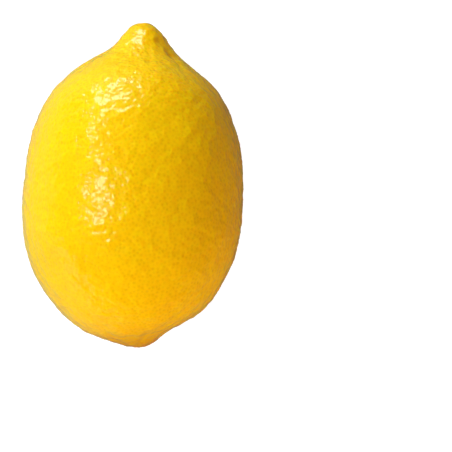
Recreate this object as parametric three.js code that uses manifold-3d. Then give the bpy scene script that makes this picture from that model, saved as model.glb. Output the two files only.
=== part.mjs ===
// A whole lemon, lying on its side on a small flat spot.
//
// Frame: +Y runs from the stem end to the nipple at the blossom end, +X is the side that the nipple
// leans to, +Z is up. The origin is under the middle of the fruit, on the surface that it lies on.

import * as THREE from 'three';
import { mergeVertices } from 'three/addons/utils/BufferGeometryUtils.js';
import Module from 'manifold-3d';

const wasm = await Module();
wasm.setup();

// ---------------------------------------------------------------------------------------------
// Driving dimensions, in millimetres and degrees. Places are measured from the body's centre.
// ---------------------------------------------------------------------------------------------

// Body: a swollen ellipsoid. A fullness of 2 is a true ellipse, and more is squarer at the shoulder.
const bodyWidth = 58;
const bodyDepth = 56;
const blossomReach = 40.2;
const stemReach = 35.8;
const blossomFullness = 2.5;
const stemFullness = 2;
const fullnessChange = 20;
const bodyLean = 2.5;

// Nipple: a blunt tapered finger that rises out of the blossom end.
const nippleRise = 8.3;
const nippleRadius = 3.75;
const nippleOffset = 3.1;
const nippleRootDepth = 16.5;
const nippleRootRadius = 3.2;
const nippleRootOffset = -1.3;
const nippleBlend = 13.8;

// Collar: a low boss round the stem, turned a little towards the ground.
const collarDepth = 4.5;
const collarRadius = 4.2;
const collarOffset = 1.5;
const collarBlend = 5.9;
const stemTilt = 20;

// Hollow and button: the dry calyx sits in the hollow and is held by nothing but its old stalk.
const buttonRadius = 2.2;
const buttonThickness = 0.7;
const buttonLobes = 5;
const buttonLobeHeight = 0.35;
const stalkRadius = 0.8;
const stalkHeight = 0.5;
const seatGap = 0.3;
const sideGap = 0.3;
const hollowDepth = 1.5;
const hollowFlare = 0.5;

// Rest: the flat spot's width across the fruit.
const restWidth = 10;

// Swells and slack places that keep the fruit from being a perfect turned shape. Each place is in
// shares of the body's half width, of its reach to that end and of its half depth.
const swells = [
  { at: [0.29, -0.87, 0], height: -1.3, spread: 6 },
  { at: [-0.41, 0.3, 0.89], height: 0.45, spread: 9 },
  { at: [0.55, -0.28, 0.79], height: -0.35, spread: 8 },
  { at: [0.2, 0.67, 0.6], height: -0.4, spread: 6 },
  { at: [-0.69, -0.45, -0.36], height: 0.4, spread: 8 },
  { at: [0.52, 0.5, -0.5], height: 0.4, spread: 8 },
];

// Mesh: the skin is cast along a sphere of directions, crowded towards both ends.
const skinDetail = 15;
const endCrowding = 0.6;
const castHalvings = 40;
const hollowSides = 40;
const flareSteps = 4;
const stalkSides = 20;
const lobeSteps = 8;
const weldDistance = 1e-4;

// ---------------------------------------------------------------------------------------------
// The skin as a field: negative inside the fruit, zero on its skin, positive outside.
// ---------------------------------------------------------------------------------------------

const up = new THREE.Vector3(0, 0, 1);
const stemward = new THREE.Vector3(0, -1, 0);
const across = new THREE.Vector3(1, 0, 0);
const degrees = THREE.MathUtils.degToRad;

const nippleTip = new THREE.Vector3(nippleOffset, blossomReach + nippleRise - nippleRadius, 0);
const nippleRoot = new THREE.Vector3(nippleRootOffset, blossomReach - nippleRootDepth, 0);
const collarCentre = new THREE.Vector3(collarOffset, collarDepth - stemReach, 0);
const stemAxis = stemward.clone().applyAxisAngle(across, degrees(stemTilt));

// Joins two fields with a fillet that reaches about `blend` to each side of the seam.
function smoothJoin(first, second, blend) {
  const mix = THREE.MathUtils.clamp(0.5 + (second - first) / (2 * blend), 0, 1);
  return THREE.MathUtils.lerp(second, first, mix) - blend * mix * (1 - mix);
}

const reachTowards = (y) => (y > 0 ? blossomReach : stemReach);

function swellField(point) {
  let field = 0;
  for (const { at, height, spread } of swells) {
    const [x, y, z] = at;
    const centre = new THREE.Vector3((x * bodyWidth) / 2, y * reachTowards(y), (z * bodyDepth) / 2);
    field -= height * Math.exp(-point.distanceToSquared(centre) / (2 * spread ** 2));
  }
  return field;
}

function bodyField(point) {
  const local = point.clone().applyAxisAngle(up, degrees(bodyLean));
  const towardsBlossom = THREE.MathUtils.smoothstep(local.y, -fullnessChange, fullnessChange);
  const fullness = THREE.MathUtils.lerp(stemFullness, blossomFullness, towardsBlossom);
  const round = Math.hypot(local.x / (bodyWidth / 2), local.z / (bodyDepth / 2));
  const along = Math.abs(local.y) / reachTowards(local.y);
  const size = (round ** fullness + along ** fullness) ** (1 / fullness);
  return local.length() * (1 - 1 / size) + swellField(point);
}

function nippleField(point) {
  const spine = new THREE.Line3(nippleRoot, nippleTip);
  const share = spine.closestPointToPointParameter(point, true);
  const nearest = spine.at(share, new THREE.Vector3());
  return point.distanceTo(nearest) - THREE.MathUtils.lerp(nippleRootRadius, nippleRadius, share);
}

function collarField(point) {
  return point.distanceTo(collarCentre) - collarRadius;
}

function skinField(point) {
  const withNipple = smoothJoin(bodyField(point), nippleField(point), nippleBlend);
  return smoothJoin(withNipple, collarField(point), collarBlend);
}

// The point where a ray that starts inside the fruit leaves it, found by halving.
function castToSkin(from, direction) {
  let inside = 0;
  let outside = 2 * (blossomReach + nippleRise + stemReach);
  const point = new THREE.Vector3();
  for (let halving = 0; halving < castHalvings; halving += 1) {
    const middle = (inside + outside) / 2;
    point.copy(from).addScaledVector(direction, middle);
    if (skinField(point) < 0) inside = middle;
    else outside = middle;
  }
  return point;
}

// ---------------------------------------------------------------------------------------------
// Closed meshes in and out of the boolean library
// ---------------------------------------------------------------------------------------------

function toSolid(geometry) {
  geometry.deleteAttribute('normal');
  geometry.deleteAttribute('uv');
  const merged = mergeVertices(geometry, weldDistance);
  return new wasm.Manifold(new wasm.Mesh({
    numProp: 3,
    vertProperties: new Float32Array(merged.attributes.position.array),
    triVerts: new Uint32Array(merged.index.array),
  }));
}

function toGeometry(solid) {
  const { vertProperties, triVerts } = solid.getMesh();
  const geometry = new THREE.BufferGeometry();
  geometry.setAttribute('position', new THREE.BufferAttribute(vertProperties, 3));
  geometry.setIndex(new THREE.BufferAttribute(triVerts, 1));
  geometry.computeVertexNormals();
  return geometry;
}

// ---------------------------------------------------------------------------------------------
// Stem end: the hollow's axis, its floor, and what is built outwards from that floor
// ---------------------------------------------------------------------------------------------

const collarTip = castToSkin(collarCentre, stemAxis);
const hollowFloor = collarTip.clone().addScaledVector(stemAxis, -hollowDepth);

// Moves a geometry whose own axis is +Y so that it stands on the hollow's floor, facing outwards.
function standInHollow(geometry, height) {
  const turn = new THREE.Quaternion().setFromUnitVectors(new THREE.Vector3(0, 1, 0), stemAxis);
  const foot = hollowFloor.clone().addScaledVector(stemAxis, height);
  return geometry.applyQuaternion(turn).translate(foot.x, foot.y, foot.z);
}

// The space removed for the hollow: a round floor whose wall flares open like a shallow dish.
function hollowCutter() {
  const floorRadius = buttonRadius + sideGap;
  const rimRadius = floorRadius + hollowFlare;
  const wall = new THREE.QuadraticBezierCurve(
    new THREE.Vector2(floorRadius, 0),
    new THREE.Vector2(floorRadius + hollowFlare / 3, hollowDepth / 2),
    new THREE.Vector2(rimRadius, hollowDepth),
  );
  const profile = [
    new THREE.Vector2(0, 0),
    ...wall.getPoints(flareSteps),
    new THREE.Vector2(rimRadius + hollowFlare, 2 * hollowDepth),
    new THREE.Vector2(0, 2 * hollowDepth),
  ];
  return toSolid(standInHollow(new THREE.LatheGeometry(profile, hollowSides), 0));
}

// The block under the fruit that its flat spot is cut with.
function restCutter() {
  const halfDepth = bodyDepth / 2;
  const restHeight = -Math.sqrt(halfDepth ** 2 - (restWidth / 2) ** 2);
  const block = new THREE.BoxGeometry(bodyWidth, blossomReach + stemReach, halfDepth);
  return toSolid(block.translate(0, 0, restHeight - halfDepth / 2));
}

// ---------------------------------------------------------------------------------------------
// Pieces
// ---------------------------------------------------------------------------------------------

function skinGeometry() {
  const geometry = new THREE.IcosahedronGeometry(1, skinDetail);
  const centre = new THREE.Vector3();
  const position = geometry.attributes.position;
  for (let index = 0; index < position.count; index += 1) {
    const direction = new THREE.Vector3().fromBufferAttribute(position, index);
    direction.x *= endCrowding;
    direction.z *= endCrowding;
    const point = castToSkin(centre, direction.normalize());
    position.setXYZ(index, point.x, point.y, point.z);
  }
  return geometry;
}

function lemonGeometry() {
  return toGeometry(toSolid(skinGeometry()).subtract(hollowCutter()).subtract(restCutter()));
}

// The calyx: a thin lobed plate with the stub of the stalk in its middle.
function buttonGeometry() {
  const outline = new THREE.Shape();
  const steps = lobeSteps * buttonLobes;
  for (let step = 0; step < steps; step += 1) {
    const angle = (2 * Math.PI * step) / steps;
    const notch = (buttonLobeHeight * (1 - Math.cos(buttonLobes * angle))) / 2;
    const x = (buttonRadius - notch) * Math.cos(angle);
    const y = (buttonRadius - notch) * Math.sin(angle);
    if (step === 0) outline.moveTo(x, y);
    else outline.lineTo(x, y);
  }
  const plate = new THREE.ExtrudeGeometry(outline, { depth: buttonThickness, bevelEnabled: false });
  plate.rotateX(-Math.PI / 2);
  const stalkLength = buttonThickness + stalkHeight;
  const stalk = new THREE.CylinderGeometry(stalkRadius, stalkRadius, stalkLength, stalkSides);
  stalk.translate(0, stalkLength / 2, 0);
  return toGeometry(
    toSolid(standInHollow(plate, seatGap)).add(toSolid(standInHollow(stalk, seatGap))),
  );
}

function piece(name, geometry, material) {
  const mesh = new THREE.Mesh(geometry, material);
  mesh.name = name;
  return mesh;
}

const peel = new THREE.MeshStandardMaterial({ color: 0xf6c513, roughness: 0.42, metalness: 0 });
const dryCalyx = new THREE.MeshStandardMaterial({ color: 0x7c6b3c, roughness: 0.85, metalness: 0 });

const group = new THREE.Group();
group.add(piece('lemon', lemonGeometry(), peel));
group.add(piece('stem_button', buttonGeometry(), dryCalyx));

// Sets the fruit down: the middle of its box over the origin, its flat spot at height zero.
const box = new THREE.Box3().setFromObject(group, true);
const middle = box.getCenter(new THREE.Vector3());
group.position.set(-middle.x, -middle.y, -box.min.z);

export default group;
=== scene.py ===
"""A whole lemon lying on a white table, photographed from straight above.

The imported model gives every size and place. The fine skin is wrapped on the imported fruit, then
carved with the relief of real peel: swells, pebbles, oil-gland pits, furrows, dents and a scar. The
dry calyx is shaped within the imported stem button.
"""
import math
import random

import bmesh
import bpy
import numpy as np
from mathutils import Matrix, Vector, kdtree, noise
from mathutils.bvhtree import BVHTree


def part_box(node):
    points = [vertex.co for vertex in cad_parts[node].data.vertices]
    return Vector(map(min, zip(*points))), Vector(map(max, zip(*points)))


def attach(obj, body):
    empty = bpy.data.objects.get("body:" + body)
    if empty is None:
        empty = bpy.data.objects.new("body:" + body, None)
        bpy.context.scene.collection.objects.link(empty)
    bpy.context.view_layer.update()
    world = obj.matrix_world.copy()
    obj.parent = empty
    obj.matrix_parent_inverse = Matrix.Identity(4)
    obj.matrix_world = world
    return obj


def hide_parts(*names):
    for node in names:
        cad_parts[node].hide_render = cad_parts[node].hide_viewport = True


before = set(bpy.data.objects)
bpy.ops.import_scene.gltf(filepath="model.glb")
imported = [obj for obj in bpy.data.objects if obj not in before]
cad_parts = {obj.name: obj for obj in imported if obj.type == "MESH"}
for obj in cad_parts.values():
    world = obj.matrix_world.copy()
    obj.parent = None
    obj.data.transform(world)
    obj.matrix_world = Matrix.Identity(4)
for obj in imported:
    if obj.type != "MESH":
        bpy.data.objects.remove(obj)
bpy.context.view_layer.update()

MM = 0.001
UP = np.array([0.0, 0.0, 1.0])

# Skin mesh: how fine it is, how far its points crowd to both ends, and its smoothing, whose every
# round takes these two steps
SPHERE_LEVEL = 8
END_CROWDING = 0.8
FAIRING_ROUNDS = 30
FAIRING_STEPS = (0.5, -0.52)

# How far one step of a seed moves the noise
SEED_STEP = (17.3, 5.1, 11.7)

# Relief of the peel from noise. The two finer layers are squeezed along the fruit, so their
# features lie across it.
SWELLS = {"size": 9 * MM, "height": 0.26 * MM, "seed": 1}
DIMPLES = {"size": 4.2 * MM, "height": 0.17 * MM, "seed": 6}
PEBBLES = {"size": 1.8 * MM, "height": 0.155 * MM, "seed": 2}
RELIEF_SQUEEZE = (1, 1.3, 1)

# Furrows round the ends. They start and end at these distances along Y from the nipple's tip or
# from the stem's face, and the wobble bends them.
NIPPLE_FURROWS = {"count": 9, "depth": 0.16 * MM, "start": 4 * MM, "end": 17 * MM, "seed": 3}
NIPPLE_WRINKLES = {"count": 31, "depth": 0.02 * MM, "start": 6 * MM, "end": 26 * MM, "seed": 5}
STEM_FURROWS = {"count": 9, "depth": 0.2 * MM, "start": -1 * MM, "end": 6 * MM, "seed": 4}
FURROW_WOBBLE = 2.2
FURROW_WOBBLE_SIZE = 7 * MM

# Oil glands: the least and the most strength of a pit, and the distances from the nipple's tip
# between which the pits fade in
GLAND_SEED = 7
GLAND_SPACING = 0.92 * MM
GLAND_RADIUS = 0.36 * MM
GLAND_DEPTH = 0.1 * MM
GLAND_STRENGTH = (0.45, 1.0)
GLAND_FADE = (1 * MM, 4 * MM)

# Scar where the flower's style fell off, at the nipple's tip
SCAR_RADIUS = 0.9 * MM
SCAR_DEPTH = 0.5 * MM

# All relief fades out towards the ground, over this height
GROUND_FADE = 1 * MM

# How far the colours of the two ends reach: a mild orange at the nipple, and painted shade at the
# stem end
NIPPLE_TINT_REACH = 9 * MM
STEM_PAINTED_SHADE_REACH = 11 * MM

# Dents on the upper side of the fruit: place in shares of its half width and half length, radius,
# depth, and how strongly the dent is stained
DENTS = [
    (0.235, 0.885, 1.0 * MM, 0.25 * MM, 0.4),
    (0.35, 0.80, 1.7 * MM, 0.40 * MM, 0.5),
    (0.02, 0.80, 0.6 * MM, 0.15 * MM, 0.3),
]

# Calyx: its mesh, its droop towards the edge, its cut stalk and its ridges. Shares are of its
# radius: what counts as rim, where the stalk gives way to the plate, and where the ridges rise.
CALYX_RINGS = 24
CALYX_SPOKES = 120
CALYX_RIM = 0.6
CALYX_DROOP = 0.25 * MM
CALYX_STALK = (0.30, 0.42)
CALYX_CUT_DEPTH = 0.3 * MM
CALYX_RIDGE_COUNT = 15
CALYX_RIDGE_DEPTH = 0.14 * MM
CALYX_RIDGE_RISE = (0.3, 0.6)
CALYX_RIDGE_TWIST = 3

# Colours of the peel: its blotches, its mottle, and the tints laid over it, each with the mask
# that it follows and the tint's share where that mask is full
PEEL_BLOTCHES = ((0.93, 0.58, 0.0003), (0.95, 0.61, 0.0005))
PEEL_MOTTLE = (0.88, 0.52, 0.0002)
PEEL_TINTS = [
    ("nipple", 0.35, (0.84, 0.46, 0.0004)),
    # The stem tint is painted shade: it darkens the stem end to orange-brown
    ("stem", 0.9, (0.46, 0.16, 0.0004)),
    ("gland", 0.55, (0.70, 0.405, 0.0005)),
    ("stain", 1, (0.55, 0.17, 0.004)),
    ("scar", 1, (0.22, 0.11, 0.03)),
]

# Colours of the dry calyx, dark and light, for its lobes and for the cut stalk
LOBE_COLOURS = ((0.13, 0.105, 0.035), (0.29, 0.24, 0.10))
STALK_COLOURS = ((0.22, 0.15, 0.07), (0.42, 0.32, 0.18))

# Floor: the half size of its two sheets
FLOOR_REACH = 6.0

# The sheet that the camera sees: its colour, and its glow beyond the fruit and under its middle,
# where the lower glow is a painted shadow
TABLE_COLOUR = (0.22, 0.22, 0.22)
TABLE_GLOW_AND_PAINTED_SHADOW = (0.97, 0.2)

# The sheet that lights the fruit: its colour, the drop to it, its glow on the -X side and on the +X
# side, and the places along X between which that changes
BOUNCE_COLOUR = (0.16, 0.12, 0.06)
BOUNCE_DROP = 0.1 * MM
BOUNCE_GLOW = (0.26, 0.05)
BOUNCE_GLOW_ENDS = (-38 * MM, -8 * MM)

# Lamps: their distance from the middle of the fruit
LAMP_DISTANCE = 1.2

# The white world: its strength as a light, and as the backdrop that the camera sees
WORLD_LIGHT = 0.05
WORLD_BACKDROP = 1.0

# Camera: its lens and sensor, the width that it takes in at the middle of the fruit, and how far
# aside of that middle it stands along X and Y
CAMERA_LENS = 250 * MM
CAMERA_SENSOR = 36 * MM
CAMERA_VIEW_WIDTH = 119.2 * MM
CAMERA_ASIDE = (24.6 * MM, -10.8 * MM)


# ---------------------------------------------------------------------------------------------
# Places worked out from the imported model
# ---------------------------------------------------------------------------------------------

def node_corners(name):
    low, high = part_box(name)
    return np.array(low), np.array(high)


fruit_low, fruit_high = node_corners("lemon")
fruit_middle = (fruit_low + fruit_high) / 2
button_low, button_high = node_corners("stem_button")
button_middle = (button_low + button_high) / 2


# ---------------------------------------------------------------------------------------------
# Mesh helpers
# ---------------------------------------------------------------------------------------------

def mesh_arrays(mesh):
    """The points and triangles of a triangle mesh."""
    points = np.empty(len(mesh.vertices) * 3)
    mesh.vertices.foreach_get("co", points)
    triangles = np.array([polygon.vertices[:] for polygon in mesh.polygons])
    return points.reshape(-1, 3), triangles


def unit_sphere(level):
    """The points and triangles of a sphere of even triangles."""
    sphere = bmesh.new()
    bmesh.ops.create_icosphere(sphere, subdivisions=level, radius=1)
    mesh = bpy.data.meshes.new("directions")
    sphere.to_mesh(mesh)
    sphere.free()
    arrays = mesh_arrays(mesh)
    bpy.data.meshes.remove(mesh)
    return arrays


def unit(vectors):
    return vectors / np.linalg.norm(vectors, axis=-1, keepdims=True)


def edges_of(triangles):
    pairs = np.concatenate([triangles[:, [0, 1]], triangles[:, [1, 2]], triangles[:, [2, 0]]])
    return np.unique(np.sort(pairs, axis=1), axis=0)


def neighbour_mean(values, edges):
    """Each point's mean over the points that share an edge with it."""
    count = np.bincount(edges.ravel(), minlength=len(values))
    mean = np.empty_like(values)
    for axis in range(values.shape[1]):
        total = np.bincount(edges[:, 0], values[edges[:, 1], axis], len(values))
        total += np.bincount(edges[:, 1], values[edges[:, 0], axis], len(values))
        mean[:, axis] = total / count
    return mean


def faired(points, edges):
    """Smooths facets away, with a swelling step after each shrinking step to keep the size."""
    for _ in range(FAIRING_ROUNDS):
        for strength in FAIRING_STEPS:
            points = points + strength * (neighbour_mean(points, edges) - points)
    return points


def point_normals(points, triangles):
    first, second, third = (points[triangles[:, corner]] for corner in range(3))
    facets = np.cross(second - first, third - first)
    normals = np.zeros_like(points)
    for corner in range(3):
        for axis in range(3):
            normals[:, axis] += np.bincount(triangles[:, corner], facets[:, axis], len(points))
    return unit(normals)


def smoothstep(values, low, high):
    share = np.clip((values - low) / (high - low), 0, 1)
    return share * share * (3 - 2 * share)


def noise_at(points, size, seed):
    """Smooth noise between about -1 and 1, with features of one size."""
    shift = Vector([seed * step for step in SEED_STEP])
    return np.array([noise.noise(Vector(point) / size + shift) for point in points])


# ---------------------------------------------------------------------------------------------
# Skin
# ---------------------------------------------------------------------------------------------

def wrapped_skin():
    """A fine skin, cast from the fruit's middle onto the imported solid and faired."""
    solid_points, solid_triangles = mesh_arrays(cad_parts["lemon"].data)
    solid = BVHTree.FromPolygons(solid_points.tolist(), solid_triangles.tolist())
    directions, triangles = unit_sphere(SPHERE_LEVEL)
    directions = unit(directions * [END_CROWDING, 1, END_CROWDING])
    middle = Vector(fruit_middle)
    hits = [solid.ray_cast(middle, Vector(direction))[0] for direction in directions]
    points = faired(np.array(hits), edges_of(triangles))
    points[:, 2] = np.maximum(points[:, 2], 0)
    return points, triangles


def scattered(points, spacing, rng):
    """Picks points at random that keep a spacing from each other."""
    order = list(range(len(points)))
    rng.shuffle(order)
    cells = {}
    picked = []
    keys = np.floor(points / spacing).astype(int)
    for index in order:
        x, y, z = keys[index]
        point = points[index]
        around = (
            cells.get((x + i, y + j, z + k), ())
            for i in (-1, 0, 1) for j in (-1, 0, 1) for k in (-1, 0, 1)
        )
        near = (other for cell in around for other in cell)
        if any(np.dot(point - other, point - other) < spacing ** 2 for other in near):
            continue
        cells.setdefault((x, y, z), []).append(point)
        picked.append(point)
    return np.array(picked)


def gland_pits(points, rng):
    """How far each point lies inside an oil gland's pit: 1 at its middle, 0 between the pits."""
    glands = scattered(points, GLAND_SPACING, rng)
    strength = [rng.uniform(*GLAND_STRENGTH) for _ in glands]
    tree = kdtree.KDTree(len(glands))
    for index, gland in enumerate(glands):
        tree.insert(gland, index)
    tree.balance()
    pits = np.empty(len(points))
    for index, point in enumerate(points):
        _, gland, distance = tree.find(point)
        pits[index] = strength[gland] * math.exp(-(distance / GLAND_RADIUS) ** 2)
    return pits


def bumps(points, size, height, seed):
    """A layer of rounded relief, up to about its height above and below the skin."""
    return height * noise_at(points, size, seed)


def furrows(points, axis_point, count, depth, start, end, seed):
    """Radial grooves round one end of the fruit, deepest halfway from their start to their end."""
    along = np.abs(points[:, 1] - axis_point[1])
    angle = np.arctan2(points[:, 2] - axis_point[2], points[:, 0] - axis_point[0])
    wobble = FURROW_WOBBLE * noise_at(points, FURROW_WOBBLE_SIZE, seed)
    groove = np.maximum(0, np.cos(count * angle + wobble)) ** 2
    middle = (start + end) / 2
    reach = smoothstep(along, start, middle) * (1 - smoothstep(along, middle, end))
    return depth * (groove * reach)


def dents(points):
    """The depth of the dents in the upper side, and how strongly each point is stained by them."""
    depth = np.zeros(len(points))
    stain = np.zeros(len(points))
    upper = points[points[:, 2] > fruit_middle[2]]
    half_width, half_length = (fruit_high - fruit_middle)[:2]
    for share_x, share_y, radius, dent_depth, dent_stain in DENTS:
        place = fruit_middle[:2] + [share_x * half_width, share_y * half_length]
        centre = upper[np.linalg.norm(upper[:, :2] - place, axis=1).argmin()]
        mask = np.exp(-(np.linalg.norm(points - centre, axis=1) / radius) ** 2)
        depth += dent_depth * mask
        stain = np.maximum(stain, dent_stain * mask)
    return depth, stain


def carve(points, triangles):
    """Carves the peel's relief and returns the skin with the masks that its colour follows."""
    normals = point_normals(points, triangles)
    pits = gland_pits(points, random.Random(GLAND_SEED))
    nipple_tip = points[points[:, 1].argmax()]
    stem_face = np.array([button_middle[0], fruit_low[1], button_middle[2]])

    from_tip = np.linalg.norm(points - nipple_tip, axis=1)
    from_stem = np.linalg.norm(points - stem_face, axis=1)
    scar = np.exp(-(from_tip / SCAR_RADIUS) ** 2)
    dent_depth, stain = dents(points)

    squeezed = points * RELIEF_SQUEEZE
    relief = bumps(points, **SWELLS) + bumps(squeezed, **DIMPLES) + bumps(squeezed, **PEBBLES)
    relief -= GLAND_DEPTH * pits * smoothstep(from_tip, *GLAND_FADE)
    relief -= furrows(points, nipple_tip, **NIPPLE_FURROWS)
    relief -= furrows(points, nipple_tip, **NIPPLE_WRINKLES)
    relief -= furrows(points, stem_face, **STEM_FURROWS)
    relief -= dent_depth + SCAR_DEPTH * scar
    relief *= smoothstep(points[:, 2], 0, GROUND_FADE)

    carved = points + normals * relief[:, None]
    carved[:, 2] = np.maximum(carved[:, 2], 0)
    nipple = np.exp(-(from_tip / NIPPLE_TINT_REACH) ** 2)
    # Mask of the painted shade on the stem end
    stem = np.exp(-(from_stem / STEM_PAINTED_SHADE_REACH) ** 2)
    return carved, {"gland": pits, "scar": scar, "nipple": nipple, "stem": stem, "stain": stain}


# ---------------------------------------------------------------------------------------------
# Calyx
# ---------------------------------------------------------------------------------------------

def button_axes(points):
    """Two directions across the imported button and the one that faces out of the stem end."""
    axis = np.linalg.svd(points - points.mean(axis=0), full_matrices=False)[2][2]
    axis = axis if axis[1] < 0 else -axis
    across = unit(np.cross(axis, UP))
    return np.array([across, np.cross(axis, across), axis])


def calyx_height(share, angle, plate, top):
    """Height over the foot: a stalk with a hollowed cut, on a plate that droops in ridges."""
    ridges = 0.5 + 0.5 * np.cos(CALYX_RIDGE_COUNT * angle + CALYX_RIDGE_TWIST * share)
    ridge_depth = CALYX_RIDGE_DEPTH * ridges * smoothstep(share, *CALYX_RIDGE_RISE)
    lobes = plate - CALYX_DROOP * share ** 2 - ridge_depth
    cut = top - CALYX_CUT_DEPTH * (1 - smoothstep(share, 0, CALYX_STALK[0]))
    return lobes + (cut - lobes) * (1 - smoothstep(share, *CALYX_STALK))


def ring_triangles(rings, spokes):
    """A closed shell over rings of points, with the first point and the last as its ends."""
    triangles = []
    last = 1 + rings * spokes
    for spoke in range(spokes):
        beside = (spoke + 1) % spokes
        triangles.append((0, 1 + spoke, 1 + beside))
        triangles.append((last, last - spokes + beside, last - spokes + spoke))
        for ring in range(rings - 1):
            first = 1 + ring * spokes
            triangles.append((first + spoke, first + spokes + spoke, first + beside))
            triangles.append((first + beside, first + spokes + spoke, first + spokes + beside))
    return np.array(triangles)


def rim_reach(rim, angle):
    """How far out the button's rim lies at each angle round its axis."""
    rim_angle = np.arctan2(rim[:, 1], rim[:, 0])
    reach = np.hypot(rim[:, 0], rim[:, 1])
    return np.interp(angle, rim_angle, reach, period=2 * math.pi)


def shaped_calyx():
    """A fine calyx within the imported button's outline and height, and a mask of its stalk."""
    packed, _ = mesh_arrays(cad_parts["stem_button"].data)
    axes = button_axes(packed)
    middle = packed.mean(axis=0)
    local = (packed - middle) @ axes.T
    foot, top = local[:, 2].min(), local[:, 2].max()
    reach = np.hypot(local[:, 0], local[:, 1])
    rim = local[reach > CALYX_RIM * reach.max()]
    plate = rim[:, 2].max() - foot

    angle = np.linspace(0, 2 * math.pi, CALYX_SPOKES, endpoint=False)
    outline = rim_reach(rim, angle)
    shares = np.arange(1, CALYX_RINGS) / (CALYX_RINGS - 1)
    rings = []
    for share in shares:
        x = share * outline * np.cos(angle)
        y = share * outline * np.sin(angle)
        height = foot + calyx_height(share, angle, plate, top - foot)
        rings.append(np.stack([x, y, height], 1))
    outer_foot = rings[-1] * [1, 1, 0] + [0, 0, foot]

    cut_middle = foot + calyx_height(0.0, 0.0, plate, top - foot)
    points = np.concatenate([[[0, 0, cut_middle]], *rings, outer_foot, [[0, 0, foot]]])
    share_of_point = np.concatenate([[0], np.repeat([*shares, 1], CALYX_SPOKES), [1]])
    stalk = 1 - smoothstep(share_of_point, *CALYX_STALK)
    return points @ axes + middle, ring_triangles(CALYX_RINGS, CALYX_SPOKES), stalk


# ---------------------------------------------------------------------------------------------
# Objects
# ---------------------------------------------------------------------------------------------

def mesh_object(name, points, triangles, masks, material):
    """A smooth-shaded object whose mesh carries the masks that its material reads."""
    mesh = bpy.data.meshes.new(name)
    mesh.from_pydata(points.tolist(), [], triangles.tolist())
    for mask, values in masks.items():
        attribute = mesh.attributes.new(mask, "FLOAT", "POINT")
        attribute.data.foreach_set("value", values.astype(np.float32))
    mesh.shade_smooth()
    mesh.materials.append(material)
    piece = bpy.data.objects.new(name, mesh)
    bpy.context.scene.collection.objects.link(piece)
    return piece


# ---------------------------------------------------------------------------------------------
# Materials
# ---------------------------------------------------------------------------------------------

class Nodes:
    """Short calls for building one material's node tree."""

    def __init__(self, name):
        self.material = bpy.data.materials.new(name)
        self.material.use_nodes = True
        self.tree = self.material.node_tree
        self.shader = self.tree.nodes["Principled BSDF"]

    def add(self, kind, **settings):
        node = self.tree.nodes.new(kind)
        for key, value in settings.items():
            setattr(node, key, value)
        return node

    def link(self, source, target):
        self.tree.links.new(source, target)

    def place(self):
        return self.add("ShaderNodeTexCoord").outputs["Object"]

    def mask(self, name):
        return self.add("ShaderNodeAttribute", attribute_name=name).outputs["Fac"]

    def noise(self, size, detail):
        node = self.add("ShaderNodeTexNoise")
        node.inputs["Scale"].default_value = 1 / size
        node.inputs["Detail"].default_value = detail
        self.link(self.place(), node.inputs["Vector"])
        return node.outputs["Fac"]

    def math(self, operation, first, second):
        node = self.add("ShaderNodeMath", operation=operation)
        for socket, value in zip(node.inputs, (first, second)):
            if isinstance(value, (int, float)):
                socket.default_value = value
            else:
                self.link(value, socket)
        return node.outputs["Value"]

    def ramp(self, factor, low, high, from_low=0.0, from_high=1.0):
        """Maps a number from one range to another."""
        node = self.add("ShaderNodeMapRange")
        node.inputs["From Min"].default_value = from_low
        node.inputs["From Max"].default_value = from_high
        node.inputs["To Min"].default_value = low
        node.inputs["To Max"].default_value = high
        self.link(factor, node.inputs["Value"])
        return node.outputs["Result"]

    def blend(self, factor, first, second):
        """Mixes two colours."""
        node = self.add("ShaderNodeMix", data_type="RGBA")
        self.link(factor, node.inputs["Factor"])
        for name, value in (("A", first), ("B", second)):
            socket = next(s for s in node.inputs if s.name == name and s.type == "RGBA")
            if isinstance(value, tuple):
                socket.default_value = (*value, 1)
            else:
                self.link(value, socket)
        return next(s for s in node.outputs if s.type == "RGBA")

    def bump(self, height, distance, strength):
        node = self.add("ShaderNodeBump")
        node.inputs["Strength"].default_value = strength
        node.inputs["Distance"].default_value = distance
        self.link(height, node.inputs["Height"])
        self.link(node.outputs["Normal"], self.shader.inputs["Normal"])

    def set(self, **values):
        for name, value in values.items():
            self.shader.inputs[name.replace("_", " ")].default_value = value


def peel_material():
    """Blotched and mottled yellow skin, tinted by the masks, with painted shade on the stem end,
    under a thin coat of wax.
    """
    nodes = Nodes("peel")
    blotches = nodes.ramp(nodes.noise(16 * MM, detail=3), 0, 1, from_low=0.35, from_high=0.65)
    colour = nodes.blend(blotches, *PEEL_BLOTCHES)
    mottle = nodes.ramp(nodes.noise(2.2 * MM, detail=2), 0, 0.35, from_low=0.4, from_high=0.7)
    colour = nodes.blend(mottle, colour, PEEL_MOTTLE)
    for mask, share, tint in PEEL_TINTS:
        strength = nodes.math("MULTIPLY", nodes.mask(mask), share)
        colour = nodes.blend(strength, colour, tint)
    nodes.link(colour, nodes.shader.inputs["Base Color"])
    roughness = nodes.ramp(nodes.noise(3 * MM, detail=3), 0.3, 0.4)
    nodes.link(roughness, nodes.shader.inputs["Roughness"])
    nodes.set(Specular_IOR_Level=0.08)
    nodes.set(Coat_Weight=0.9, Coat_Roughness=0.08, Coat_IOR=1.38)
    nodes.set(Subsurface_Weight=0.75, Subsurface_Scale=2.5 * MM)
    nodes.set(Subsurface_Radius=(1.0, 0.5, 0.02))
    nodes.bump(nodes.noise(0.5 * MM, detail=3), distance=0.06 * MM, strength=0.6)
    return nodes.material


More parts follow.
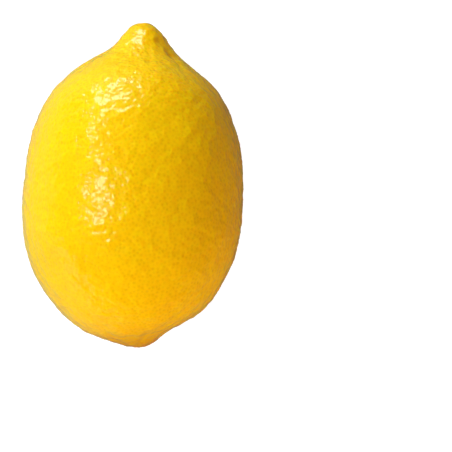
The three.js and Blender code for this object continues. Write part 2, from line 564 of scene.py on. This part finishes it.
def calyx_material():
    """Dry patchy lobes, and the paler wood of the cut stalk."""
    nodes = Nodes("dry_calyx")
    patches = nodes.ramp(nodes.noise(1.1 * MM, detail=4), 0, 1, from_low=0.35, from_high=0.65)
    lobes = nodes.blend(patches, *LOBE_COLOURS)
    stalk = nodes.blend(patches, *STALK_COLOURS)
    colour = nodes.blend(nodes.mask("stalk"), lobes, stalk)
    nodes.link(colour, nodes.shader.inputs["Base Color"])
    nodes.set(Roughness=0.85, Specular_IOR_Level=0.25)
    nodes.bump(nodes.noise(0.35 * MM, detail=4), distance=0.15 * MM, strength=0.8)
    return nodes.material


def table_nodes(name, colour):
    """A dull floor that glows white, by a strength that is left to link."""
    nodes = Nodes(name)
    nodes.set(Base_Color=(*colour, 1), Roughness=0.9, Specular_IOR_Level=0.1)
    nodes.set(Emission_Color=(1, 1, 1, 1))
    return nodes


def seen_table_material():
    """A white floor with a soft painted shadow where the fruit overhangs it."""
    nodes = table_nodes("white_table", TABLE_COLOUR)
    half_width, half_length, _ = (fruit_high - fruit_low) / 2
    spread = nodes.add("ShaderNodeMapping")
    spread.inputs["Scale"].default_value = (1 / half_width, 1 / half_length, 0)
    # The glow falls off under the fruit: a painted contact shadow
    painted_shadow = nodes.add("ShaderNodeTexGradient", gradient_type="SPHERICAL")
    nodes.link(nodes.place(), spread.inputs["Vector"])
    nodes.link(spread.outputs["Vector"], painted_shadow.inputs["Vector"])
    glow = nodes.ramp(painted_shadow.outputs["Fac"], *TABLE_GLOW_AND_PAINTED_SHADOW)
    nodes.link(glow, nodes.shader.inputs["Emission Strength"])
    return nodes.material


def bounce_table_material():
    """A dark floor that glows on the key lamp's side, for the pale edge of the fruit there."""
    nodes = table_nodes("grey_table", BOUNCE_COLOUR)
    parts = nodes.add("ShaderNodeSeparateXYZ")
    nodes.link(nodes.place(), parts.inputs["Vector"])
    glow = nodes.ramp(parts.outputs["X"], *BOUNCE_GLOW, *BOUNCE_GLOW_ENDS)
    nodes.link(glow, nodes.shader.inputs["Emission Strength"])
    return nodes.material


# ---------------------------------------------------------------------------------------------
# Pieces
# ---------------------------------------------------------------------------------------------

def make_skin():
    points, triangles = wrapped_skin()
    carved, masks = carve(points, triangles)
    skin = mesh_object("lemon_skin", carved, triangles, masks, peel_material())
    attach(skin, "root")
    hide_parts("lemon")


def make_calyx():
    points, triangles, stalk = shaped_calyx()
    calyx = mesh_object("calyx", points, triangles, {"stalk": stalk}, calyx_material())
    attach(calyx, "root")
    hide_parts("stem_button")


def table_sheet(name, height, material):
    mesh = bpy.data.meshes.new(name)
    far = FLOOR_REACH
    corners = [(x, y, height) for x, y in ((-far, -far), (far, -far), (far, far), (-far, far))]
    mesh.from_pydata(corners, [], [(0, 1, 2, 3)])
    mesh.materials.append(material)
    sheet = bpy.data.objects.new(name, mesh)
    bpy.context.scene.collection.objects.link(sheet)
    return sheet


def make_table():
    """A white sheet that only the camera sees, and a dark one just under it for everything else."""
    seen = table_sheet("table", 0, seen_table_material())
    seen.visible_diffuse = False
    seen.visible_glossy = False
    seen.visible_transmission = False
    seen.visible_shadow = False
    bounce = table_sheet("table_bounce", -BOUNCE_DROP, bounce_table_material())
    bounce.visible_camera = False


# ---------------------------------------------------------------------------------------------
# Light and camera
# ---------------------------------------------------------------------------------------------

def softbox(name, direction, width, length, power, colour=(1, 1, 1), glossy=False):
    """A rectangular lamp that faces the fruit, and shows in its gloss only if it is glossy."""
    aim = Vector(direction).normalized()
    lamp = bpy.data.lights.new(name, "AREA")
    lamp.shape = "RECTANGLE"
    lamp.size = width
    lamp.size_y = length
    lamp.energy = power
    lamp.color = colour
    holder = bpy.data.objects.new(name, lamp)
    holder.location = Vector(fruit_middle) + aim * LAMP_DISTANCE
    holder.rotation_euler = aim.to_track_quat("Z", "Y").to_euler()
    holder.visible_camera = False
    holder.visible_glossy = glossy
    bpy.context.scene.collection.objects.link(holder)


def make_world():
    """A white backdrop that gives only a little light of its own."""
    world = bpy.data.worlds.new("studio")
    world.use_nodes = True
    tree = world.node_tree
    background = tree.nodes["Background"]
    background.inputs["Color"].default_value = (1, 1, 1, 1)
    rays = tree.nodes.new("ShaderNodeLightPath")
    strength = tree.nodes.new("ShaderNodeMapRange")
    strength.inputs["To Min"].default_value = WORLD_LIGHT
    strength.inputs["To Max"].default_value = WORLD_BACKDROP
    tree.links.new(rays.outputs["Is Camera Ray"], strength.inputs["Value"])
    tree.links.new(strength.outputs["Result"], background.inputs["Strength"])
    bpy.context.scene.world = world


def make_lights():
    """Glossy lamps draw the broken highlights, and the others model the fruit's round form."""
    softbox("window", (-0.28, 1.0, 0.26), width=0.66, length=0.44, power=8.6, glossy=True)
    softbox("crown", (-0.54, 0.0, 0.84), width=0.25, length=0.44, power=3.3, glossy=True)
    softbox("link", (-0.57, 0.56, 0.60), width=0.30, length=0.35, power=2.5, glossy=True)
    softbox("rim", (-0.8, -0.56, 0.05), width=0.9, length=0.5, power=1.3, glossy=True)
    softbox("canopy", (-0.5, 0.0, 0.86), width=0.9, length=0.9, power=4.2)
    softbox("key", (-0.85, 0.25, 0.5), width=0.9, length=0.9, power=5.8, colour=(0.88, 1, 1))
    softbox("front", (-0.3, -0.9, 0.35), width=0.9, length=0.6, power=2.9, colour=(1, 0.97, 0.9))
    softbox("side", (1.0, 0.45, 0.05), width=0.9, length=0.5, power=3.2, colour=(1, 0.6, 0.2))
    softbox("fill", (0.47, -0.95, 0.26), width=0.9, length=0.6, power=11.2, colour=(1, 0.68, 0.3))
    make_world()


def make_camera():
    """Straight above, with the fruit left of and above the middle of the frame."""
    camera = bpy.data.cameras.new("camera")
    camera.lens = CAMERA_LENS / MM
    camera.sensor_width = CAMERA_SENSOR / MM
    holder = bpy.data.objects.new("camera", camera)
    height = CAMERA_VIEW_WIDTH * CAMERA_LENS / CAMERA_SENSOR
    holder.location = Vector(fruit_middle) + Vector((*CAMERA_ASIDE, height))
    bpy.context.scene.collection.objects.link(holder)
    bpy.context.scene.camera = holder
    bpy.context.scene.view_settings.view_transform = "Standard"


make_skin()
make_calyx()
make_table()
make_lights()
make_camera()
